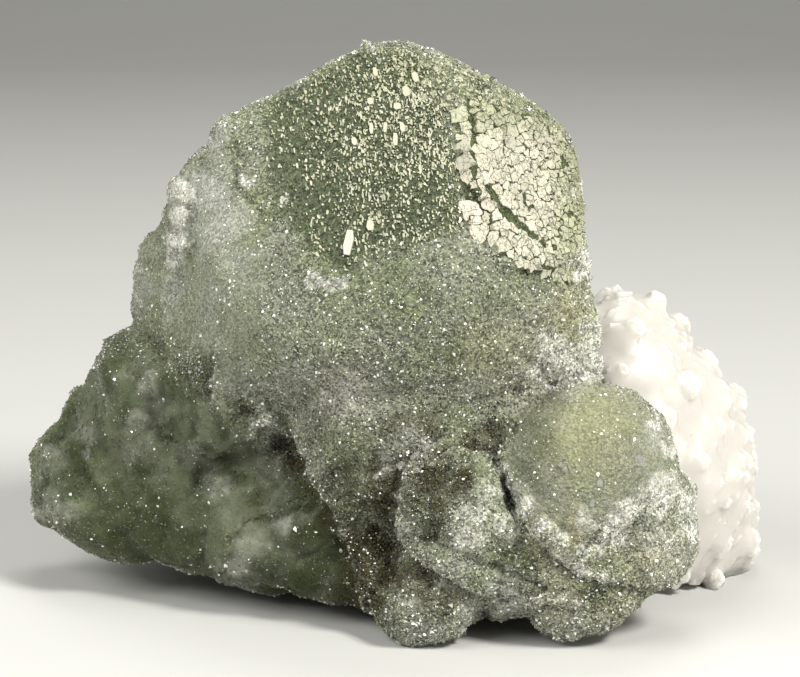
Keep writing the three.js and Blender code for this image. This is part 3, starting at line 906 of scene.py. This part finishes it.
centres, outward, near = spread(skin.data, FLECKS_PER_MM2, random)
fleck = picked(skin_places, near)
pixels = seen(centres)
thick = 0.24 + 0.5 * smooth_step(pixels[:, 0], 300, 440) - 0.16 * smooth_step(pixels[:, 1], 150, 250)
bunched = smooth_step(lump_heights(centres, 2.6), 0.35, 0.95)
thick = np.clip(thick, 0.08, 0.8) * (0.35 + 0.9 * bunched)
chosen = random.random(len(centres)) < fleck["dark_face"] * thick * (1 - 1.4 * fleck["olive_and_painted_shade"])
chosen |= random.random(len(centres)) < 0.2 * fleck["cream_strip"]
centres, outward = centres[chosen], outward[chosen]
count = len(centres)
upright = forward * ((outward @ upward) / (outward @ forward))[:, None] - upward
along = unit(unit(upright) + 0.25 * random.normal(size=centres.shape))
length = 0.09 + 0.32 * random.random(count) ** 3
half = np.stack([0.05 + 0.12 * random.random(count) ** 2, length, np.full(count, 0.16)], 1)

big = np.array(BIG_FLECKS)
big_centres, big_outward = skin_seen_at(big[:, :2])
centres = np.concatenate([centres, big_centres])
outward = np.concatenate([outward, big_outward])
along = np.concatenate([along, turned(-upward, big[:, 4])])
half = np.concatenate([half, np.stack([big[:, 3], big[:, 2], np.full(len(big), 0.3)], 1)])
side = unit(np.cross(along, outward))
axes = np.stack([side, np.cross(outward, side), outward], 1)
shade = np.concatenate([random.random(count), np.ones(len(big))])
sliver = bmesh.new()
bmesh.ops.create_cube(sliver, size=2)
bevel(sliver, [edge for edge in sliver.edges if all(v.co.x * v.co.y > 0 for v in edge.verts)], 0.7)
flecks = repeat("flecks", as_arrays(sliver), centres, axes, half * MM, {"shade": shade})

# %% [markdown]
# ## Quartz points
#
# The bed's solid carries its larger points. Real quartz points stand shoulder to shoulder and come in
# every size, so low six-sided points 2.2 to 4.8 mm wide fill the bed between them. All are turned the
# same way. The bed and its points are then rebuilt as one skin, so that light can wander inside the
# quartz from point to point, which makes it snow-white.

# %% Quartz points
POINTS_PER_MM2 = 0.26
POINT_SINK = 0.5  # how deep each is sunk, as a share of its radius
POINT_HUB = np.array((12, 14, 14)) * MM  # the points fan out from here
BREAK_PLANE = 26 * MM  # no points grow behind it
QUARTZ_CELL = 0.382 * MM
FILL_ROUNDS = 70  # how far around a pit the level that fills it is taken, in rounds of averaging
FILL_SHARE = 0.5
LEVEL_SHARE = 0.88  # how much of the relief is levelled in front
BREAK_SCALLOPS = ((7.0, 1.6), (2.6, 0.8), (1.1, 0.3))  # spacing and depth in millimetres
random = np.random.default_rng(12)


def gap_to_skin(places):
    """The distance of places from the fluorite's skin, in millimetres."""
    return np.array([skin_tree.find_nearest(Vector(place))[3] for place in places]) / MM


bed = welded_copy("quartz")
centres, outward, _ = spread(bed, POINTS_PER_MM2, random)
stands = (gap_to_skin(centres) > 1.6) & (centres[:, 2] > 1.4 * MM) & (centres[:, 1] < BREAK_PLANE)
centres, outward = centres[stands], outward[stands]
lean = 0.4 * outward + unit(centres - POINT_HUB) + 0.05 * random.normal(size=centres.shape)
lean[:, 2] = np.maximum(lean[:, 2], 0)
lean = unit(lean)
side = unit(np.cross(lean, forward))
width = (1.1 + 1.3 * random.random(len(centres)) ** 2) * MM
sizes = np.stack([width, width * (0.8 + 0.3 * random.random(len(width))), width], 1)
low_points = repeat(
    "low_points", crystal(6, 1, 0.5, 0.6), centres - lean * (width * POINT_SINK)[:, None],
    np.stack([side, np.cross(lean, side), lean], 1), sizes, {},
)
both = bmesh.new()
both.from_mesh(bed)
both.from_mesh(low_points.data)
both.to_mesh(bed)
both.free()
bpy.data.objects.remove(low_points)
quartz_bed = evenly_rebuilt("quartz_bed", bed, QUARTZ_CELL, 0)

# %% [markdown]
# The pits between the points are half filled. In front, young quartz has almost drowned the points,
# so the skin is levelled there. For both, every place moves towards the average of those around it.
# The back is where the bed broke from its wall: there the skin is scalloped like broken stone.

# %% Quartz skin
quartz_points, quartz_normals = mesh_positions(quartz_bed.data), mesh_normals(quartz_bed.data)
around = averaged(quartz_points, quartz_bed.data, FILL_ROUNDS)
pit = np.sum((around - quartz_points) * quartz_normals, axis=1)
level = LEVEL_SHARE * facing(around, quartz_normals, 0.05, 0.4)
level = np.maximum(level, FILL_SHARE * smooth_step(pit, 0, 0.2 * MM))
quartz_points += (around - quartz_points) * level[:, None]
broken = smooth_step(quartz_normals[:, 1], 0.85, 0.97) * smooth_step(gap_to_skin(quartz_points), 2, 3)
at_break = np.flatnonzero(broken)
for spacing, depth in BREAK_SCALLOPS:
    scallops = 1 - lump_heights(quartz_points[at_break], spacing)
    quartz_points[at_break, 1] -= scallops * broken[at_break] * depth * MM
quartz_points[:, 2] = np.maximum(quartz_points[:, 2], 0)  # it rests flat on the cut
set_positions(quartz_bed.data, quartz_points)
store(quartz_bed.data, {"broken": broken})
quartz_bed.data.shade_smooth()
print("quartz triangles:", 2 * len(quartz_bed.data.polygons), "at the break:", len(at_break))

# %% [markdown]
# ## Clear crystals
#
# Some thirty clear quartz crystals up to 1.4 mm long stand on the large crystal's top edge, along its
# sides, and here and there on the lower crystals. They are see-through, so they show the green behind
# them.

# %% Clear crystals
# Each has its pixel across and down, its length as a share of 1.44 mm, and by how many degrees it is
# turned from upright towards the right.
SKYLINE = [
    (367, 46, 0.9, -20), (373, 50, 0.7, 25), (300, 84, 0.7, -30), (306, 82, 0.5, 10),
    (262, 103, 0.5, -25), (226, 120, 0.5, -20), (580, 158, 0.5, 70), (583, 182, 0.5, 80),
    (583, 205, 0.45, 95), (582, 228, 0.5, 85), (588, 262, 0.5, 80), (592, 278, 0.6, 75),
    (427, 52, 0.4, 10), (470, 70, 0.45, 30), (520, 96, 0.45, 30), (408, 44, 0.4, 0),
    (185, 172, 0.5, -40), (168, 232, 0.5, -60), (140, 252, 0.5, -50), (380, 62, 0.6, 10),
    (637, 462, 1.0, 0), (598, 486, 0.7, 0), (593, 503, 0.6, 10), (660, 505, 0.5, 30),
    (402, 466, 0.9, 60), (412, 459, 0.9, 60), (424, 451, 0.8, 60), (559, 464, 0.6, 150),
    (564, 470, 0.6, 150), (336, 283, 0.8, 20), (322, 280, 0.7, -30), (348, 279, 0.7, 50),
]
random = np.random.default_rng(5)

spots = np.array(SKYLINE, float)
front = np.flatnonzero(facing(points, normals) > 0.05)
front_pixels = seen(points[front])
nearest = [front[np.argmin(np.hypot(*(front_pixels - spot[:2]).T))] for spot in spots]
lean = unit(turned(upward, spots[:, 3]) + 0.3 * normals[nearest])
width = spots[:, 2] * 0.6 * MM
sizes = np.stack([width, width, width], 1)
feet = points[nearest] - lean * width[:, None] * 0.6
axes = axes_along(lean, random)
shade = random.random(len(width))
skyline = repeat("clear_crystals", crystal(6, 1, 1.6, 0.8), feet, axes, sizes, {"shade": shade})

# %% [markdown]
# ## Shader tools
#
# Shader sums are written as plain arithmetic. `Surface` holds one material and makes its nodes with
# one method. `Wire` is an output of such a node, and its operators make Math nodes.

# %% Shader tools
class Wire:
    """One output socket, on which arithmetic can be done."""

    def __init__(self, surface, socket):
        self.surface = surface
        self.socket = socket

    def math(self, operation, first, second):
        return self.surface.make("Math", {0: first, 1: second}, operation=operation)

    def __add__(self, other):
        return self.math("ADD", self, other)

    def __sub__(self, other):
        return self.math("SUBTRACT", self, other)

    def __rsub__(self, other):
        return self.math("SUBTRACT", other, self)

    def __mul__(self, other):
        return self.math("MULTIPLY", self, other)

    def __pow__(self, other):
        return self.math("POWER", self, other)

    __radd__ = __add__
    __rmul__ = __mul__


class Surface:
    """One material. Inputs of its Principled shader can be set at once, or later to wires."""

    def __init__(self, name, **fixed):
        self.material = bpy.data.materials.new(name)
        self.material.use_nodes = True
        self.tree = self.material.node_tree
        self.shader = self.tree.nodes["Principled BSDF"]
        self.drive(**fixed)
        self.place = self.make("TexCoord", {}, "Object")

    def connect(self, value, socket):
        if isinstance(value, Wire):
            self.tree.links.new(value.socket, socket)
        else:
            socket.default_value = value

    def drive(self, **inputs):
        for key, value in inputs.items():
            self.connect(value, self.shader.inputs[key.replace("_", " ")])

    def make(self, kind, inputs, output=0, **settings):
        """The output of a new node, with its settings and its inputs."""
        node = self.tree.nodes.new("ShaderNode" + kind)
        for key, value in settings.items():
            setattr(node, key, value)
        for key, value in inputs.items():
            self.connect(value, node.inputs[key])
        return Wire(self, node.outputs[output])

    def read(self, name):
        """A value that is stored on the mesh's points."""
        return self.make("Attribute", {}, "Fac", attribute_name=name)

    def noise(self, size, detail=3.0, output=0):
        """Noise whose waves are about that many millimetres long."""
        inputs = {"Vector": self.place, "Scale": 1 / (size * MM), "Detail": detail}
        return self.make("TexNoise", inputs, output)

    def cells(self, size, output="Distance"):
        return self.make("TexVoronoi", {"Vector": self.place, "Scale": 1 / (size * MM)}, output)

    def cell_values(self, size):
        """A random value from 0 to 1 for each cell of that many millimetres."""
        return self.make("SeparateColor", {"Color": self.cells(size, "Color")}, "Red")

    def cracks(self, size):
        """0 on uneven lines between cells of that many millimetres, 1 away from them."""
        reach = (0.8 * size * MM,) * 3
        shift = self.noise(0.5 * size, 2.0, "Color")
        moved = self.make("VectorMath", {0: shift, 1: reach, 2: self.place}, operation="MULTIPLY_ADD")
        inputs = {"Vector": moved, "Scale": 1 / (size * MM)}
        lines = self.make("TexVoronoi", inputs, "Distance", feature="DISTANCE_TO_EDGE")
        return self.ramp(lines, 0.0, 0.08)

    def ramp(self, value, low, high):
        """0 at low, 1 at high, and smooth between."""
        inputs = {"Value": value, "From Min": low, "From Max": high}
        return self.make("MapRange", inputs, interpolation_type="SMOOTHSTEP")

    def mix(self, share, first, second):
        return self.make("Mix", {0: share, 6: first, 7: second}, 2, data_type="RGBA")

    def shaded(self, colour, amount):
        """A colour made lighter or darker by a factor."""
        colour = colour if isinstance(colour, Wire) else colour[:3]
        return self.make("VectorMath", {0: colour, "Scale": amount}, operation="SCALE")

    def bump(self, height, strength, distance):
        inputs = {"Height": height, "Strength": strength, "Distance": distance}
        self.drive(Normal=self.make("Bump", inputs))

    def coat(self, *pieces):
        for piece in pieces:
            piece.data.materials.clear()
            piece.data.materials.append(self.material)


def rgb(red, green, blue):
    return (red, green, blue, 1)

# %% [markdown]
# ## Fluorite and its crust
#
# The skin and the grains read the same places, so one function mixes their colour, layer on layer.
# The skin shows in the gaps between grains, where it is deep and dark. The grains are clear quartz
# over the green: most are a little lighter than it. The crumbs run up to nearly white.

# %% Fluorite and its crust
SAGE = rgb(0.238, 0.268, 0.158)
GREY_GREEN = rgb(0.275, 0.292, 0.215)
FACE_GREEN = rgb(0.076, 0.096, 0.048)
DEEP_GREEN = rgb(0.050, 0.068, 0.020)
OLIVE_AND_PAINTED_SHADE = rgb(0.046, 0.038, 0.010)
CREAM_BLOOM = rgb(0.41, 0.37, 0.225)
PALE_HAZE_AND_PAINTED_LIGHT = rgb(0.45, 0.465, 0.40)
WHITE_CRUST_AND_PAINTED_LIGHT = rgb(0.74, 0.735, 0.66)
CLEAR_GRAIN = rgb(0.80, 0.80, 0.72)
SNOW_AND_PAINTED_GLINT = rgb(0.86, 0.855, 0.80)


def fluorite_colour(surface):
    """Sage green under its layers, each mixed over those before it by its share."""
    read, noise, ramp = surface.read, surface.noise, surface.ramp
    layers = (
        (ramp(noise(9, 4.0), 0.38, 0.62), GREY_GREEN),
        (read("cream") * 0.8, CREAM_BLOOM),
        (read("deep") * 0.85, DEEP_GREEN),
        # Olive stain, and painted shade: in the olive band, under the ledges and in hollows.
        (ramp(read("olive_and_painted_shade") * 0.95 + read("hollow_shade") ** 2.0 * 0.35, 0.0, 1.0), OLIVE_AND_PAINTED_SHADE),
        # Pale haze, partly painted light in shaded creases and gaps.
        (read("pale") * 0.85, PALE_HAZE_AND_PAINTED_LIGHT),
        # Painted shade: the smooth masses at the lower left, which lie in shade, are darkened towards
        # deep green.
        (read("smooth") * (0.45 + ramp(noise(4.5), 0.4, 0.65) * 0.45), DEEP_GREEN),
        (read("dark_face") * 0.85, FACE_GREEN),
        (read("cream_strip") * 0.35, DEEP_GREEN),
        (read("mosaic_face") * 0.9, DEEP_GREEN),
        # White crust, partly painted light in shaded creases and on edges.
        (ramp(read("white") + noise(1.3) * 0.9, 0.55, 1.45) * (1 - read("smooth") * 0.5), WHITE_CRUST_AND_PAINTED_LIGHT),
    )
    colour = SAGE
    for share, layer in layers:
        colour = surface.mix(share, colour, layer)
    return colour


stone = Surface(
    "fluorite", IOR=1.434, Specular_IOR_Level=0.2, Subsurface_Weight=0.6,
    Subsurface_Radius=(1.0, 1.0, 0.7), Subsurface_Scale=1.6 * MM,
)
# Each small cell of the skin has its own tone, and hollows are darker: painted shade.
rough = 0.22 + stone.cell_values(0.30) * 0.9 - stone.read("hollow_shade") * 0.2
rough = rough * (1 - stone.read("fine") * 0.5) + stone.read("fine") * 0.35
# The smooth masses get their own blotchy tone, kept low as painted shade.
smooth_mass_tone_and_shade = 0.40 + stone.noise(1.5) * 0.36
share = stone.read("smooth")
stone.drive(
    Base_Color=stone.shaded(fluorite_colour(stone), rough * (1 - share) + smooth_mass_tone_and_shade * share),
    Roughness=0.25 + stone.cell_values(0.42) * 0.4,
)
stone.bump((stone.cells(0.42) + stone.cells(0.23) * 0.5) * (1 - share * 0.7), 0.9, 0.2 * MM)
stone.coat(skin)

sugar = Surface("crust_grains", IOR=1.46, Specular_IOR_Level=0.3, Transmission_Weight=0.55)
shade = sugar.read("shade")
# Grains stay darker where they clear less: on olive, on the dark face and on the smooth masses. On olive
# and on the smooth masses this is partly painted shade.
dim = sugar.read("olive_and_painted_shade") * 0.9 + sugar.read("dark_face") * 0.7 + sugar.read("smooth") * 0.4
clearing = (0.25 + shade * 0.25) * (1 - sugar.make("Clamp", {"Value": dim}))
colour = sugar.mix(clearing, fluorite_colour(sugar), CLEAR_GRAIN)
sugar.drive(
    Base_Color=sugar.shaded(colour, 0.95 + (shade - 0.5) * (0.9 - sugar.read("fine") * 0.6)),
    Roughness=0.08 + sugar.noise(0.5) * 0.2 + sugar.read("olive_and_painted_shade") * 0.4,
)
sugar.coat(*crust)

# Near-white crumbs: white quartz, and partly a painted glint.
glint = Surface("bright_grains", IOR=1.544, Specular_IOR_Level=0.8)
colour = glint.mix(glint.ramp(glint.read("shade"), 0.2, 0.7), fluorite_colour(glint), SNOW_AND_PAINTED_GLINT)
glint.drive(Base_Color=colour, Roughness=0.08 + glint.noise(0.5) * 0.15)
glint.coat(crumbs)

# %% [markdown]
# The plates are chalky cream with a pink tinge in places. The flecks are the same, but thinner and
# greener. Quartz is snow-white because light scatters inside it, and its faces are glassy.

# %% Plates, flecks and quartz
CREAM = rgb(0.45, 0.435, 0.345)
PINK_CREAM = rgb(0.43, 0.385, 0.315)
GREEN_CREAM = rgb(0.30, 0.31, 0.195)
FLECK_CREAM = rgb(0.41, 0.40, 0.305)
QUARTZ_WHITE = rgb(0.46, 0.44, 0.41)
WALL_STAIN = rgb(0.34, 0.30, 0.23)

chalk = Surface("mosaic_cream", IOR=1.46)
colour = chalk.mix(chalk.read("pink"), CREAM, PINK_CREAM)
colour = chalk.mix(chalk.ramp(chalk.noise(1.1), 0.52, 0.75) * 0.6, colour, GREEN_CREAM)
colour = chalk.mix(chalk.read("cream_strip") * 0.9, colour, GREEN_CREAM)
hairlines = 1 - (1 - chalk.cracks(0.8)) * chalk.ramp(chalk.noise(1.8), 0.42, 0.5)
specks = chalk.ramp(chalk.noise(0.3), 0.58, 0.66)
light = (0.72 + chalk.read("shade") * 0.3) * (0.35 + hairlines * 0.65) * (1 - specks * 0.5)
chalk.drive(Base_Color=chalk.shaded(colour, light), Roughness=0.35 + chalk.noise(0.7) * 0.3)
chalk.bump(chalk.noise(0.35) + chalk.cells(0.3) * 0.4 + hairlines * 0.6, 0.6, 0.1 * MM)
chalk.coat(mosaic)

pale = Surface("fleck_cream", IOR=1.5)
tone = pale.read("shade")
colour = pale.mix(pale.ramp(tone, 0.0, 0.4), FACE_GREEN, GREEN_CREAM)
colour = pale.mix(pale.ramp(tone, 0.4, 0.9), colour, FLECK_CREAM)
pale.drive(Base_Color=colour, Roughness=0.25 + pale.noise(0.6) * 0.2)
pale.coat(flecks)

snow = Surface(
    "quartz", IOR=1.544, Subsurface_Weight=1.0, Subsurface_Radius=(1.0, 1.0, 1.0),
    Subsurface_Scale=8.0 * MM,
)
stained = snow.read("broken") * snow.ramp(snow.noise(6), 0.35, 0.7)
snow.drive(
    Base_Color=snow.shaded(snow.mix(stained, QUARTZ_WHITE, WALL_STAIN), 0.94 + snow.noise(2.2) * 0.12),
    Roughness=0.2 + snow.noise(1.3) * 0.3,
)
snow.bump(snow.noise(0.5), 0.2, 0.1 * MM)
snow.coat(quartz_bed)

clear = Surface("clear_quartz", IOR=1.544, Transmission_Weight=0.85)
clear.drive(Base_Color=rgb(0.97, 0.98, 0.96), Roughness=0.04 + clear.noise(1.0) * 0.1)
clear.coat(skyline)

# %% [markdown]
# Nothing of the specimen moves, so every piece rides on its root. The skin and the bed stand in for
# the two solids.

# %% Pieces ride on the frame
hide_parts("fluorite")
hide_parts("quartz")
for piece in (skin, mosaic, flecks, crumbs, *crust):
    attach(piece, "root")
for piece in (quartz_bed, skyline):
    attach(piece, "root")

# %% [markdown]
# ## Stage, light and camera
#
# The specimen stands on a pale floor that curves up behind it. A large soft light stands high at the
# right and in front, as in the photograph. Weak ones fill in from the left, from above and behind,
# from low at the right, and from the left side. The camera is where the photograph's was.

# %% Stage
FLOOR_REACH = 1.5
WALL_HEIGHT = 1.8
CORNER_ROUNDING = 0.8

floor_shape = bmesh.new()
bmesh.ops.create_grid(floor_shape, x_segments=1, y_segments=1, size=FLOOR_REACH)
back = [e for e in floor_shape.edges if all(v.co.y > 1.4 for v in e.verts)]
lift(floor_shape, bmesh.ops.extrude_edge_only(floor_shape, edges=back), WALL_HEIGHT)
corner = [e for e in floor_shape.edges if all(v.co.y > 1.4 and v.co.z < 0.1 for v in e.verts)]
bevel(floor_shape, corner, CORNER_ROUNDING, 16)
floor = link_piece("floor", as_mesh("floor", floor_shape))
floor.data.shade_smooth()
paper = Surface("paper", Roughness=0.9)
paper.drive(Base_Color=paper.shaded(rgb(0.44, 0.44, 0.43), 0.98 + paper.noise(40) * 0.04))
paper.coat(floor)


# %% Lights
def soft_light(name, place, size, watts, colour=(1, 0.99, 0.95)):
    """A square light that shines at the specimen's middle."""
    data = bpy.data.lights.new(name, "AREA")
    data.size = size
    data.energy = watts
    data.color = colour
    light = link_piece(name, data)
    light.location = place
    aim = Vector((0, 0, 0.035)) - Vector(place)
    light.rotation_euler = aim.to_track_quat("-Z", "Y").to_euler()


soft_light("key", (0.36, -0.36, 0.52), 0.16, 7.5, (1, 0.98, 0.92))
soft_light("fill", (-0.45, -0.40, 0.55), 0.40, 4.2)
soft_light("top", (0.05, 0.20, 0.75), 0.35, 2.3)
soft_light("low", (0.50, -0.30, 0.07), 0.22, 1.6, (1, 0.98, 0.92))
soft_light("side", (-0.50, -0.12, 0.30), 0.25, 1.3)

world = bpy.data.worlds.new("studio")
world.use_nodes = True
sky = world.node_tree.nodes["Background"].inputs
sky["Color"].default_value = (0.9, 0.9, 0.86, 1)
sky["Strength"].default_value = 0.26
bpy.context.scene.world = world
bpy.context.scene.view_settings.view_transform = "Standard"

# %% Camera
camera_data = bpy.data.cameras.new("camera")
camera_data.lens = LENS
camera_data.sensor_width = SENSOR
camera = link_piece("camera", camera_data)
camera.location = eye
camera.rotation_euler = Vector(forward).to_track_quat("-Z", "Y").to_euler()
bpy.context.scene.camera = camera
